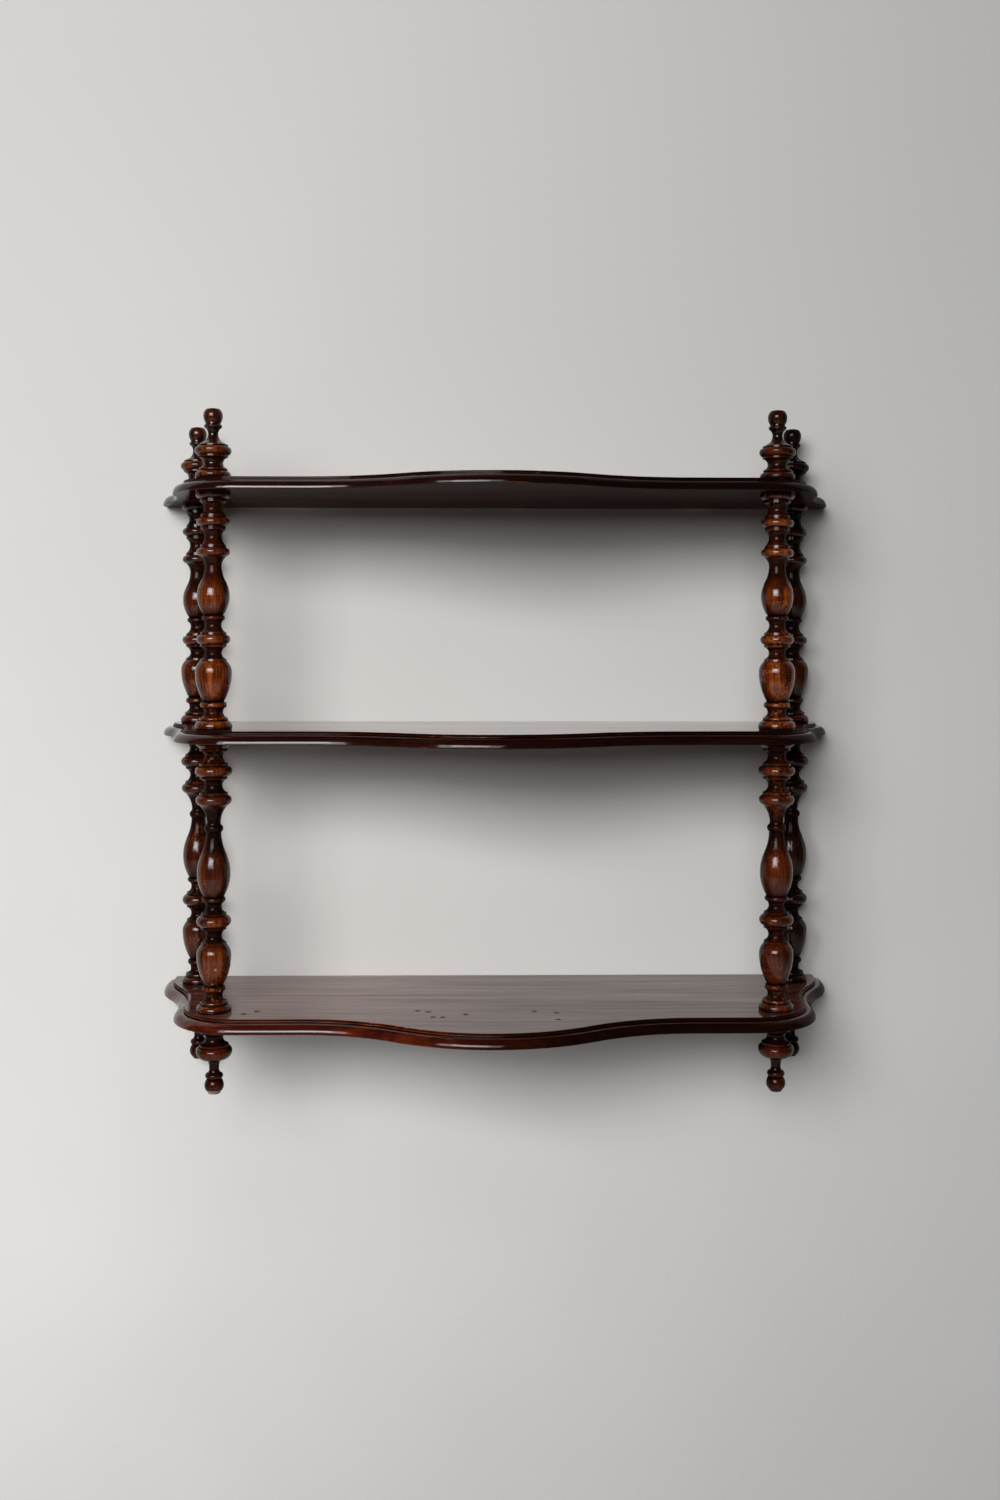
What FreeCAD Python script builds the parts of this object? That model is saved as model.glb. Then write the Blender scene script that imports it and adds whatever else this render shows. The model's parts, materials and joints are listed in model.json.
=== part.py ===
# A wall-hung etagere: three serpentine boards on four turned columns.
#
# Frame: +Z up, the wall is the plane y = 0 and the object stands in front of it, towards -Y.
# The origin lies midway between the two hanger eyes, on the wall plane. Lengths are millimetres.
import FreeCAD, Part
import math
import os
from collections import namedtuple
from functools import partial

import Sketcher

SIZES = {
    # Plan of a board, at the widest line of its moulded edge: from the wall forward, a rounded nose,
    # a waist that is drawn in to the front corner, a straight front and a bowed centre
    "overall_width": 657.0,
    "nose_radius": 85.0,
    "nose_setback": 5.0,
    "side_run": 110.0,
    "corner_inset": 32.5,
    "corner_radius": 66.0,
    "front_flat": 56.0,
    "bow_projection": 51.0,
    "board_thickness": 11.7,
    # Moulded edge, from the top down: the field's step, a small bead, a quirk, a ledge, an ovolo and
    # an eased arris
    "field_inset": 10.0,
    "field_step": 1.5,
    "bead_radius": 1.0,
    "quirk_depth": 0.4,
    "quirk_height": 0.9,
    "ledge_width": 1.9,
    "arris_height": 0.8,
    "arris_undercut": 0.6,
    # What the sawn blank carries beyond the finished edge and behind the wall plane
    "blank_trim": 0.5,
    "rear_waste": 8.0,
    "cutter_margin": 2.0,
    # Column axes: in from the corners' and the noses' widest lines, back from the front, out from the wall
    "front_column_side_inset": 40.9,
    "front_column_front_inset": 40.0,
    "rear_column_side_inset": 36.5,
    "rear_column_setback": 26.0,
    # Dowels through the boards
    "dowel_radius": 5.0,
    "dowel_chamfer": 0.8,
    "socket_depth": 16.0,
    "socket_clearance": 0.05,
    "dowel_end_gap": 0.5,
    # Hanger plates, let into the back edge of the top board
    "hanger_spacing": 400.0,
    "eye_height": 9.0,
    "eye_radius": 2.5,
    "eye_lobe_radius": 7.0,
    "plate_thickness": 2.0,
    "plate_bar_height": 9.0,
    "plate_screw_spacing": 26.0,
    "recess_clearance": 0.1,
    # Countersunk screws in the hanger plates
    "screw_shank_radius": 1.5,
    "screw_head_radius": 2.7,
    "screw_length": 14.0,
    "screw_tip_length": 3.0,
    "screw_clearance": 0.1,
    "pilot_clearance": 0.05,
    "pilot_end_gap": 0.5,
    "slot_width": 0.8,
    "slot_depth": 0.6,
}

# Turned outlines, from the end that stands on a board. Each row is one vertex: its name, how the
# outline reaches it, its rise above the vertex before it and its radius.
#   line   straight
#   swell  an arc that arrives parallel to the axis, as at the widest line of a bead
#   ease   an arc that leaves the vertex before it parallel to the axis
#   ogee   two equal arcs, parallel to the axis at both ends
#   dome   an arc that arrives square to the axis
TURNINGS = {
    "finial": (
        ("sole", None, 0.0, 14.0),
        ("foot", "swell", 4.05, 15.8),
        ("foot_top", "ease", 3.7, 12.3),
        ("collar", "swell", 1.3, 12.9),
        ("collar_top", "ease", 1.4, 12.0),
        ("cove", "swell", 4.4, 8.9),
        ("cove_top", "ease", 5.4, 12.6),
        ("fillet_base", "line", 0.2, 13.4),
        ("fillet_top", "line", 1.6, 13.4),
        ("torus", "swell", 4.2, 16.4),
        ("torus_top", "ease", 3.6, 13.4),
        ("cap_fillet", "line", 1.6, 13.4),
        ("cone_top", "line", 3.0, 7.8),
        ("neck", "swell", 6.7, 4.6),
        ("flare", "ease", 5.3, 6.9),
        ("ring", "swell", 1.6, 8.1),
        ("ring_top", "ease", 1.8, 6.8),
        ("ball_base", "line", 1.4, 6.8),
        ("ball", "swell", 6.3, 8.7),
        ("ball_top", "ease", 5.9, 6.3),
        ("crown", "dome", 1.1, 0.0),
    ),
    "upper": (
        ("sole", None, 0.0, 16.0),
        ("foot", "swell", 3.05, 16.7),
        ("foot_top", "ease", 5.0, 12.6),
        ("collar", "swell", 1.4, 12.9),
        ("collar_top", "ease", 1.4, 12.2),
        ("base_cove", "swell", 4.9, 8.4),
        ("base_cove_top", "ease", 3.6, 9.6),
        ("urn_ring", "swell", 2.7, 11.9),
        ("urn_ring_top", "ease", 3.2, 9.0),
        ("urn", "swell", 26.5, 16.4),
        ("urn_top", "ease", 10.0, 11.9),
        ("urn_band", "line", 1.8, 11.7),
        ("low_cove_base", "line", 0.4, 11.0),
        ("low_cove", "swell", 5.1, 7.35),
        ("low_cove_top", "ease", 5.4, 11.0),
        ("low_fillet_base", "line", 0.2, 11.8),
        ("low_fillet", "line", 2.3, 11.8),
        ("low_torus", "swell", 4.5, 15.1),
        ("low_torus_top", "ease", 4.0, 11.7),
        ("low_band", "line", 2.3, 11.4),
        ("mid_cove_base", "line", 0.3, 10.4),
        ("mid_cove", "swell", 6.4, 7.1),
        ("mid_cove_top", "ease", 3.9, 8.4),
        ("vase_ring", "swell", 2.4, 10.3),
        ("vase_ring_top", "ease", 2.5, 8.5),
        ("vase", "swell", 17.3, 14.5),
        ("neck", "ogee", 27.1, 7.4),
        ("flare", "ease", 8.7, 11.9),
        ("high_torus", "swell", 3.6, 14.8),
        ("high_torus_top", "ease", 3.9, 11.6),
        ("high_band", "line", 2.7, 11.3),
        ("high_cove_base", "line", 0.5, 10.2),
        ("high_cove", "swell", 6.9, 7.6),
        ("high_cove_top", "ease", 5.8, 10.3),
        ("high_fillet_base", "line", 0.3, 11.1),
        ("high_fillet", "line", 3.2, 11.1),
        ("top_torus", "swell", 3.8, 14.8),
        ("top_torus_top", "ease", 3.7, 11.2),
        ("top_band", "line", 3.1, 11.0),
        ("top_cove_base", "line", 0.4, 9.9),
        ("top_cove", "swell", 5.0, 8.3),
        ("top_cove_top", "ease", 5.4, 11.0),
        ("top_fillet_base", "line", 0.4, 11.9),
        ("top_fillet", "line", 2.9, 11.9),
        ("flange", "swell", 3.7, 15.5),
        ("flange_top", "line", 1.65, 15.6),
    ),
    "lower": (
        ("sole", None, 0.0, 15.4),
        ("foot", "swell", 2.45, 15.8),
        ("foot_top", "ease", 4.1, 12.2),
        ("collar", "swell", 1.6, 12.5),
        ("collar_top", "ease", 1.5, 12.0),
        ("base_cove_base", "line", 0.3, 10.6),
        ("base_cove", "swell", 4.1, 7.6),
        ("base_cove_top", "ease", 4.2, 8.4),
        ("urn_ring", "swell", 2.5, 10.4),
        ("urn_ring_top", "ease", 2.9, 8.2),
        ("urn", "swell", 27.5, 15.5),
        ("urn_top", "ease", 9.2, 11.5),
        ("urn_band", "line", 2.3, 11.2),
        ("low_cove_base", "line", 0.4, 10.2),
        ("low_cove", "swell", 5.5, 7.1),
        ("low_cove_top", "ease", 5.8, 10.7),
        ("low_fillet_base", "line", 0.3, 11.4),
        ("low_fillet", "line", 2.2, 11.4),
        ("low_torus", "swell", 4.9, 15.5),
        ("low_torus_top", "ease", 5.2, 11.4),
        ("low_band", "line", 2.2, 11.2),
        ("mid_cove_base", "line", 0.6, 9.6),
        ("mid_cove", "swell", 5.3, 6.9),
        ("mid_cove_top", "ease", 3.9, 8.6),
        ("vase_ring", "swell", 2.3, 10.5),
        ("vase_ring_top", "ease", 2.6, 8.9),
        ("vase", "swell", 21.1, 14.9),
        ("neck", "ogee", 37.2, 6.7),
        ("neck_ring", "swell", 3.6, 8.5),
        ("neck_ring_top", "ease", 3.3, 6.5),
        ("high_neck", "swell", 2.0, 6.2),
        ("flare", "ease", 15.5, 12.6),
        ("high_torus", "swell", 4.9, 16.0),
        ("high_torus_top", "ease", 4.0, 12.8),
        ("high_band", "line", 2.6, 12.6),
        ("high_cove_base", "line", 0.8, 10.6),
        ("high_cove", "swell", 5.7, 7.8),
        ("high_cove_top", "ease", 5.3, 11.0),
        ("high_fillet_base", "line", 0.6, 12.3),
        ("high_fillet", "line", 2.3, 12.3),
        ("top_torus", "swell", 4.8, 16.6),
        ("top_torus_top", "ease", 4.4, 12.6),
        ("top_band", "line", 2.5, 12.6),
        ("top_cove_base", "line", 0.7, 10.6),
        ("top_cove", "swell", 5.4, 8.1),
        ("top_cove_top", "ease", 4.7, 10.6),
        ("top_fillet_base", "line", 0.6, 12.4),
        ("top_fillet", "line", 2.3, 12.4),
        ("flange", "line", 2.9, 15.8),
        ("flange_top", "line", 2.25, 15.9),
    ),
    "pendant": (
        ("sole", None, 0.0, 15.9),
        ("flange", "line", 1.75, 15.8),
        ("flange_end", "line", 3.5, 12.4),
        ("collar", "line", 2.4, 12.4),
        ("cove_base", "line", 0.6, 10.8),
        ("cove", "swell", 3.8, 8.1),
        ("cove_end", "ease", 5.4, 12.0),
        ("fillet_base", "line", 0.6, 13.1),
        ("fillet", "line", 1.8, 13.1),
        ("torus", "swell", 4.2, 16.2),
        ("bowl", "ease", 7.6, 9.0),
        ("bowl_end", "line", 1.6, 6.0),
        ("neck", "swell", 4.8, 4.5),
        ("neck_end", "line", 2.3, 4.4),
        ("flare", "ease", 3.9, 6.0),
        ("ring", "swell", 2.3, 8.0),
        ("ring_end", "ease", 2.7, 6.4),
        ("ball", "swell", 6.3, 8.7),
        ("ball_end", "ease", 5.2, 6.5),
        ("button", "line", 1.9, 5.2),
        ("crown", "dome", 0.6, 0.0),
    ),
}

for kind, rows in TURNINGS.items():
    for name, _, rise, radius in rows:
        if rise:
            SIZES[f"{kind}_{name}_rise"] = rise
        if radius:
            SIZES[f"{kind}_{name}_radius"] = radius

doc = FreeCAD.newDocument("etagere")
sheet = doc.addObject("Spreadsheet::Sheet", "Dims")
for row, (alias, value) in enumerate(SIZES.items(), start=1):
    sheet.set(f"A{row}", alias)
    sheet.set(f"B{row}", str(value))
    sheet.setAlias(f"B{row}", alias)
doc.recompute()

# Sketch positions and geometry numbers, as the sketcher counts them
START, END, CENTRE = range(1, 4)
HORIZONTAL_AXIS, VERTICAL_AXIS = range(-1, -3, -1)
ORIGIN = (HORIZONTAL_AXIS, START)

# A size is a number with the expression that it comes from
Size = namedtuple("Size", "value text")


def size(text):
    """Reads an expression of aliases, and keeps it for binding. A plain zero is None: on the axis."""
    if text == "0":
        return None
    return Size(float(sheet.evalExpression(to_cells(text))), to_cells(text))


def to_cells(text):
    """Writes Dims. before every alias of an expression."""
    words = text.replace("(", "( ").replace(")", " )").split()
    return " ".join(f"Dims.{word}" if word in SIZES else word for word in words)


def opposite(measure):
    return Size(-measure.value, f"-({measure.text})")


def origin_plane(body, role):
    """One of a body's own origin planes, such as XZ_Plane."""
    return next(feature for feature in body.Origin.OriginFeatures if feature.Role == role)


def new_sketch(body, name, role):
    sketch = body.newObject("Sketcher::SketchObject", name)
    sketch.AttachmentSupport = [(origin_plane(body, role), "")]
    sketch.MapMode = "FlatFace"
    return sketch


class Rules:
    """Collects a sketch's constraints, then adds them at once and binds the dimensions."""

    def __init__(self, sketch):
        self.sketch = sketch
        self.constraints = []
        self.bindings = []

    def add(self, *words):
        self.constraints.append(Sketcher.Constraint(*words))

    def dimension(self, kind, *places, measure):
        self.bindings.append((len(self.constraints), measure.text))
        self.add(kind, *places, measure.value)

    def from_origin(self, kind, place, measure):
        """A signed distance from the origin, or a place on the axis where the measure is None."""
        if measure is None:
            self.add("PointOnObject", *place, VERTICAL_AXIS if kind == "DistanceX" else HORIZONTAL_AXIS)
        elif measure.value < 0:
            self.dimension(kind, *place, *ORIGIN, measure=opposite(measure))
        else:
            self.dimension(kind, *ORIGIN, *place, measure=measure)

    def apply(self):
        first = self.sketch.ConstraintCount
        self.sketch.addConstraint(self.constraints)
        for index, text in self.bindings:
            self.sketch.setExpression(f"Constraints[{first + index}]", text)


def arc_between(centre, start, end):
    """The arc under a half turn from start to end, and where the sketcher counts its two ends."""
    radius = math.dist(centre, start)
    turn = (start[0] - centre[0]) * (end[1] - centre[1]) - (start[1] - centre[1]) * (end[0] - centre[0])
    first, last = (start, end) if turn > 0 else (end, start)
    angles = [math.atan2(point[1] - centre[1], point[0] - centre[0]) for point in (first, last)]
    circle = Part.Circle(FreeCAD.Vector(*centre, 0), FreeCAD.Vector(0, 0, 1), radius)
    ends = (START, END) if turn > 0 else (END, START)
    return Part.ArcOfCircle(circle, *angles), ends


def line_between(start, end):
    return Part.LineSegment(FreeCAD.Vector(*start, 0), FreeCAD.Vector(*end, 0)), (START, END)


# A corner of an outline: where it lies, how the outline goes on from it to the next corner, and the sizes
# that place it. Its height counts from the sketch's origin, or from the corner before where it rises.
Corner = namedtuple("Corner", "x y edge across height rises")


def fixed_corner(x, y, edge="line"):
    """A corner measured from the sketch's origin, or on an axis where x or y is None."""
    return Corner(x.value if x else 0.0, y.value if y else 0.0, edge, x, y, False)


def edge_pieces(kind, start, end):
    """Cuts an edge into single arcs or lines, each with its kind and its two ends."""
    if kind != "ogee":
        return [(kind, start, end)]
    middle = ((start[0] + end[0]) / 2, (start[1] + end[1]) / 2)
    return [("ease", start, middle), ("swell", middle, end)]


def piece_shape(kind, start, end):
    """The geometry of one piece of an edge, and where the sketcher counts its two ends."""
    if kind == "line":
        return line_between(start, end)
    across, along = end[0] - start[0], end[1] - start[1]
    chord = across * across + along * along
    if kind == "dome":
        return arc_between((end[0], end[1] - chord / (2 * along)), start, end)
    if kind == "swell":
        return arc_between((end[0] - chord / (2 * across), end[1]), start, end)
    return arc_between((start[0] + chord / (2 * across), start[1]), start, end)


def draw_outline(sketch, corners):
    """Draws a closed outline and ties its corners and arcs to their sizes."""
    rules = Rules(sketch)
    chain = []
    corner_places = []
    for corner, following in zip(corners, corners[1:] + corners[:1]):
        pieces = edge_pieces(corner.edge, (corner.x, corner.y), (following.x, following.y))
        numbers = []
        for kind, start, end in pieces:
            shape, ends = piece_shape(kind, start, end)
            number = sketch.addGeometry(shape, False)
            numbers.append(number)
            chain.append((number, *ends))
            if kind == "swell":
                rules.add("Horizontal", number, CENTRE, number, ends[1])
            elif kind == "ease":
                rules.add("Horizontal", number, CENTRE, number, ends[0])
            elif kind == "dome":
                rules.add("Vertical", number, CENTRE, number, ends[1])
        corner_places.append(chain[-len(pieces)][:2])
        if len(pieces) == 2:
            rules.add("Tangent", chain[-2][0], chain[-2][2], chain[-1][0], chain[-1][1])
            rules.add("Equal", *numbers)
    ogee_joints = {corner_places[i][0] for i, corner in enumerate(corners) if corner.edge == "ogee"}
    for before, after in zip(chain, chain[1:] + chain[:1]):
        if before[0] not in ogee_joints:
            rules.add("Coincident", before[0], before[2], after[0], after[1])
    for index, corner in enumerate(corners):
        place = corner_places[index]
        rules.from_origin("DistanceX", place, corner.across)
        if corner.rises:
            rules.dimension("DistanceY", *corner_places[index - 1], *place, measure=corner.height)
        else:
            rules.from_origin("DistanceY", place, corner.height)
    rules.apply()


def draw_circle(sketch, x, y, radius):
    middle = FreeCAD.Vector(x.value if x else 0.0, y.value if y else 0.0, 0)
    number = sketch.addGeometry(Part.Circle(middle, FreeCAD.Vector(0, 0, 1), radius.value), False)
    rules = Rules(sketch)
    rules.from_origin("DistanceX", (number, CENTRE), x)
    rules.from_origin("DistanceY", (number, CENTRE), y)
    rules.dimension("Radius", number, measure=radius)
    rules.apply()


def new_body(label, base, turn=0.0):
    """A body whose place is bound to the sheet, turned about X by so many degrees."""
    body = doc.addObject("PartDesign::Body", label)
    body.Label = label
    body.Placement = FreeCAD.Placement(FreeCAD.Vector(), FreeCAD.Rotation(FreeCAD.Vector(1, 0, 0), turn))
    for axis, measure in zip("xyz", base):
        if measure is not None:
            body.setExpression(f"Placement.Base.{axis}", measure.text)
    return body


def repeat_shape(body, original):
    """Gives a body the shape of another one, at its own place."""
    feature = body.newObject("PartDesign::FeatureBase", f"{body.Name}_copy")
    feature.BaseFeature = original
    body.Tip = feature


def pad(body, sketch, length):
    feature = body.newObject("PartDesign::Pad", f"{sketch.Name}_pad")
    feature.Profile = sketch
    feature.setExpression("Length", length.text)
    return feature


def pocket(body, sketch, depth=None):
    """Cuts along the sketch's own normal, to a depth or right through."""
    feature = body.newObject("PartDesign::Pocket", f"{sketch.Name}_cut")
    feature.Profile = sketch
    feature.Reversed = True
    if depth is None:
        feature.Type = "ThroughAll"
    else:
        feature.setExpression("Length", depth.text)
    return feature


def revolve(body, sketch):
    feature = body.newObject("PartDesign::Revolution", f"{sketch.Name}_turned")
    feature.Profile = sketch
    feature.ReferenceAxis = (sketch, ["V_Axis"])
    feature.Angle = 360.0
    return feature


# The stack of boards and turnings, from the hanger eyes down
def length_of(kind):
    """A turned piece's length: the sum of its rises."""
    return " + ".join(f"{kind}_{name}_rise" for name, _, rise, _ in TURNINGS[kind] if rise)


TOP_FACE = "- eye_height"
TOP_UNDERSIDE = f"{TOP_FACE} - board_thickness"
MIDDLE_FACE = f"{TOP_UNDERSIDE} - ( {length_of('upper')} )"
MIDDLE_UNDERSIDE = f"{MIDDLE_FACE} - board_thickness"
BOTTOM_FACE = f"{MIDDLE_UNDERSIDE} - ( {length_of('lower')} )"
BOTTOM_UNDERSIDE = f"{BOTTOM_FACE} - board_thickness"

# Lines of a board's plan
HALF_WIDTH = "overall_width / 2"
CORNER_LINE = f"{HALF_WIDTH} - corner_inset"
SIDE_DEPTH = "nose_setback + side_run + corner_radius"
BOW_HALF = f"( {CORNER_LINE} - corner_radius - front_flat )"
BOW_CURVE = f"( {BOW_HALF} * {BOW_HALF} + bow_projection * bow_projection ) / ( 4 * bow_projection )"
OUTERMOST = f"- ( {SIDE_DEPTH} ) - bow_projection"

FRONT_X = f"{CORNER_LINE} - front_column_side_inset"
REAR_X = f"{HALF_WIDTH} - rear_column_side_inset"
FRONT_Y = f"front_column_front_inset - ( {SIDE_DEPTH} )"
REAR_Y = "- rear_column_setback"
COLUMNS = {
    "front_left": (size(f"- ( {FRONT_X} )"), size(FRONT_Y)),
    "front_right": (size(FRONT_X), size(FRONT_Y)),
    "rear_left": (size(f"- ( {REAR_X} )"), size(REAR_Y)),
    "rear_right": (size(REAR_X), size(REAR_Y)),
}

SOCKET_RADIUS = size("dowel_radius + socket_clearance")
SOCKET_DEPTH = size("socket_depth")

HANGERS = {"left": "- hanger_spacing / 2", "right": "hanger_spacing / 2"}
SCREW_SIGNS = ("-", "+")
SCREW_HEIGHT = size("- eye_height - board_thickness / 2")


def mirrored(point):
    return None if point is None else (-point[0], point[1])


def plan_outline(sketch):
    """Draws a board's blank: noses at the wall, waists, front corners and a bowed centre."""
    trim = size("blank_trim").value
    nose_x, nose_y = size(f"{HALF_WIDTH} - nose_radius"), size("- nose_setback")
    nose_radius = size("nose_radius + blank_trim")
    corner_x, corner_y = size(f"{CORNER_LINE} - corner_radius"), size("- nose_setback - side_run")
    corner_radius = size("corner_radius + blank_trim")
    bow_half = size(BOW_HALF)
    bow_radius = size(f"{BOW_CURVE} + blank_trim")
    bow_y = size(f"{BOW_CURVE} + {OUTERMOST}")
    rear = size("rear_waste")

    # The waist touches nose and corner, with its centre level with the corner's
    finished_nose = size("nose_radius").value
    inward = finished_nose - size("corner_inset").value
    forward = size("side_run").value
    waist = (inward ** 2 + forward ** 2 - finished_nose ** 2) / (2 * (finished_nose - inward))
    waist_centre = (nose_x.value + inward + waist, corner_y.value)
    reach = nose_radius.value / (finished_nose + waist)
    nose_end = (nose_x.value + (inward + waist) * reach, nose_y.value - forward * reach)
    rear_half = math.sqrt(nose_radius.value ** 2 - (rear.value - nose_y.value) ** 2)
    nose_start = (nose_x.value + rear_half, rear.value)
    waist_end = (nose_x.value + inward + trim, corner_y.value)

    # The sweep that leads into the bow has the bow's own finished radius
    front_y = corner_y.value - corner_radius.value
    sweep_y = front_y - (bow_radius.value - 2 * trim)
    share = bow_radius.value / (2 * (bow_radius.value - trim))
    sweep_end = (bow_half.value * share, bow_y.value + (sweep_y - bow_y.value) * share)
    corner_end = (corner_x.value, front_y)
    flat_end = (bow_half.value, front_y)

    right = [
        ((nose_x.value, nose_y.value), nose_start, nose_end),
        (waist_centre, nose_end, waist_end),
        ((corner_x.value, corner_y.value), waist_end, corner_end),
        (None, corner_end, flat_end),
        ((bow_half.value, sweep_y), flat_end, sweep_end),
    ]
    left = [(mirrored(centre), mirrored(end), mirrored(start)) for centre, start, end in reversed(right)]
    bow_edge = ((0.0, bow_y.value), sweep_end, mirrored(sweep_end))
    back_edge = (None, mirrored(nose_start), nose_start)

    chain = []
    for centre, start, end in [*right, bow_edge, *left, back_edge]:
        shape, ends = line_between(start, end) if centre is None else arc_between(centre, start, end)
        chain.append((sketch.addGeometry(shape, False), *ends))
    numbers = [number for number, _, _ in chain]
    right_side, bow, left_side, back = numbers[:5], numbers[5], numbers[10:5:-1], numbers[11]

    rules = Rules(sketch)
    for before, after in zip(chain, chain[1:] + chain[:1]):
        joint = "Coincident" if back in (before[0], after[0]) else "Tangent"
        rules.add(joint, before[0], before[2], after[0], after[1])
    for edges, x_centres in ((right_side, (nose_x, corner_x, bow_half)),
                             (left_side, map(opposite, (nose_x, corner_x, bow_half)))):
        nose, waist_edge, corner, flat, sweep = edges
        for edge, x_centre in zip((nose, corner, sweep), x_centres):
            rules.from_origin("DistanceX", (edge, CENTRE), x_centre)
        for edge, y_centre, radius in ((nose, nose_y, nose_radius), (corner, corner_y, corner_radius)):
            rules.from_origin("DistanceY", (edge, CENTRE), y_centre)
            rules.dimension("Radius", edge, measure=radius)
        rules.add("Horizontal", waist_edge, CENTRE, corner, CENTRE)
        rules.add("Horizontal", flat)
    rules.from_origin("DistanceX", (bow, CENTRE), None)
    rules.from_origin("DistanceY", (bow, CENTRE), bow_y)
    rules.dimension("Radius", bow, measure=bow_radius)
    rules.add("Horizontal", back)
    rules.from_origin("DistanceY", (back, START), rear)
    rules.apply()


def moulding_profile(sketch):
    """Draws what the moulding cutter takes off: everything outside the stepped and rounded edge."""
    field = size(f"{OUTERMOST} + field_inset")
    bead = size(f"{OUTERMOST} + field_inset - bead_radius")
    quirk = size(f"{OUTERMOST} + field_inset - bead_radius + quirk_depth")
    ledge_end = size(f"{OUTERMOST} + field_inset - bead_radius + quirk_depth - ledge_width")
    undercut = size(f"{OUTERMOST} + arris_undercut")
    outside = size(f"{OUTERMOST} - cutter_margin")
    above, below = size("board_thickness + cutter_margin"), size("- cutter_margin")
    step = size("board_thickness - field_step")
    bead_end = size("board_thickness - field_step - bead_radius")
    ledge = size("board_thickness - field_step - bead_radius - quirk_height")
    draw_outline(sketch, [
        fixed_corner(field, above),
        fixed_corner(field, step, "swell"),
        fixed_corner(bead, bead_end),
        fixed_corner(quirk, bead_end),
        fixed_corner(quirk, ledge),
        fixed_corner(ledge_end, ledge, "swell"),
        fixed_corner(size(OUTERMOST), size("arris_height"), "ease"),
        fixed_corner(undercut, None),
        fixed_corner(undercut, below),
        fixed_corner(outside, below),
        fixed_corner(outside, above),
    ])


def draw_plate(sketch, x, z, grow):
    """Draws a hanger plate's outline about its eye at x, z, larger all round by grow."""
    lobe = f"eye_lobe_radius + {grow}"
    bar_flat = "plate_screw_spacing / 2"
    bar_end = f"{bar_flat} + plate_bar_height / 2 + {grow}"
    bar_middle = f"{z} - eye_height - board_thickness / 2"
    middle, eye = size(bar_middle), size(z)
    bar_top = size(f"{bar_middle} + plate_bar_height / 2 + {grow}")
    bar_bottom = size(f"{bar_middle} - plate_bar_height / 2 - {grow}")

    def left(distance):
        return size(f"{x} - ( {distance} )")

    def right(distance):
        return size(f"{x} + {distance}")

    draw_outline(sketch, [
        fixed_corner(left(bar_flat), bar_bottom),
        fixed_corner(right(bar_flat), bar_bottom, "swell"),
        fixed_corner(right(bar_end), middle, "ease"),
        fixed_corner(right(bar_flat), bar_top),
        fixed_corner(right(lobe), bar_top),
        fixed_corner(right(lobe), eye, "ease"),
        fixed_corner(size(x), size(f"{z} + {lobe}"), "swell"),
        fixed_corner(left(lobe), eye),
        fixed_corner(left(lobe), bar_top),
        fixed_corner(left(bar_flat), bar_top, "swell"),
        fixed_corner(left(bar_end), middle, "ease"),
    ])


def draw_rectangle(sketch, half_length, low, high):
    """Draws a rectangle centred on the vertical axis, from low to high."""
    left, right = size(f"- ( {half_length} )"), size(half_length)
    draw_outline(sketch, [
        fixed_corner(left, low),
        fixed_corner(right, low),
        fixed_corner(right, high),
        fixed_corner(left, high),
    ])


def make_board(body):
    """A board: a sawn blank with its edge moulded, its back sawn flush and its dowel holes bored."""
    outline = new_sketch(body, f"{body.Name}_plan", "XY_Plane")
    plan_outline(outline)
    pad(body, outline, size("board_thickness"))
    doc.recompute()

    profile = new_sketch(body, f"{body.Name}_edge", "YZ_Plane")
    moulding_profile(profile)
    moulding = body.newObject("PartDesign::SubtractivePipe", f"{body.Name}_moulding")
    moulding.Profile = profile
    back_line = size("rear_waste").value
    path = [
        f"Edge{number}" for number, edge in enumerate(outline.Shape.Edges, start=1)
        if edge.BoundBox.YMin < back_line - Part.Precision.confusion()
    ]
    moulding.Spine = (outline, path)
    moulding.Mode = "Binormal"
    moulding.Binormal = FreeCAD.Vector(0, 0, 1)

    waste = new_sketch(body, f"{body.Name}_waste", "XY_Plane")
    draw_rectangle(waste, f"{HALF_WIDTH} + cutter_margin", None, size("rear_waste + cutter_margin"))
    pocket(body, waste)

    holes = new_sketch(body, f"{body.Name}_holes", "XY_Plane")
    for x, y in COLUMNS.values():
        draw_circle(holes, x, y, SOCKET_RADIUS)
    pocket(body, holes)


def let_in_hangers(body):
    """Sinks the hanger plates' recesses and bores their screws' pilot holes in a board's back edge."""
    recess = new_sketch(body, f"{body.Name}_recess", "XZ_Plane")
    pilots = new_sketch(body, f"{body.Name}_pilots", "XZ_Plane")
    for x in HANGERS.values():
        draw_plate(recess, x, "board_thickness + eye_height", "recess_clearance")
        for sign in SCREW_SIGNS:
            draw_circle(pilots, size(f"{x} {sign} plate_screw_spacing / 2"), size("board_thickness / 2"),
                        size("screw_shank_radius + pilot_clearance"))
    pocket(body, recess, size("plate_thickness"))
    pocket(body, pilots, size("screw_length + pilot_end_gap"))


def make_turning(body, kind, meets_board_above):
    """A turned piece with a dowel socket at each end that meets a board."""
    rows = TURNINGS[kind]
    onward = [edge for _, edge, _, _ in rows[1:]] + ["line"]
    corners = [
        fixed_corner(None, SOCKET_DEPTH),
        fixed_corner(SOCKET_RADIUS, SOCKET_DEPTH),
        fixed_corner(SOCKET_RADIUS, None),
    ]
    height = 0.0
    for (name, _, rise, radius), edge in zip(rows, onward):
        across = size(f"{kind}_{name}_radius") if radius else None
        climb = size(f"{kind}_{name}_rise") if rise else None
        height += rise
        corners.append(Corner(radius, height, edge, across, climb, climb is not None))
    if meets_board_above:
        top, floor = size(length_of(kind)), size(f"{length_of(kind)} - socket_depth")
        corners += [
            fixed_corner(SOCKET_RADIUS, top),
            fixed_corner(SOCKET_RADIUS, floor),
            fixed_corner(None, floor),
        ]
    profile = new_sketch(body, f"{body.Name}_profile", "XZ_Plane")
    draw_outline(profile, corners)
    revolve(body, profile)


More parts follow.
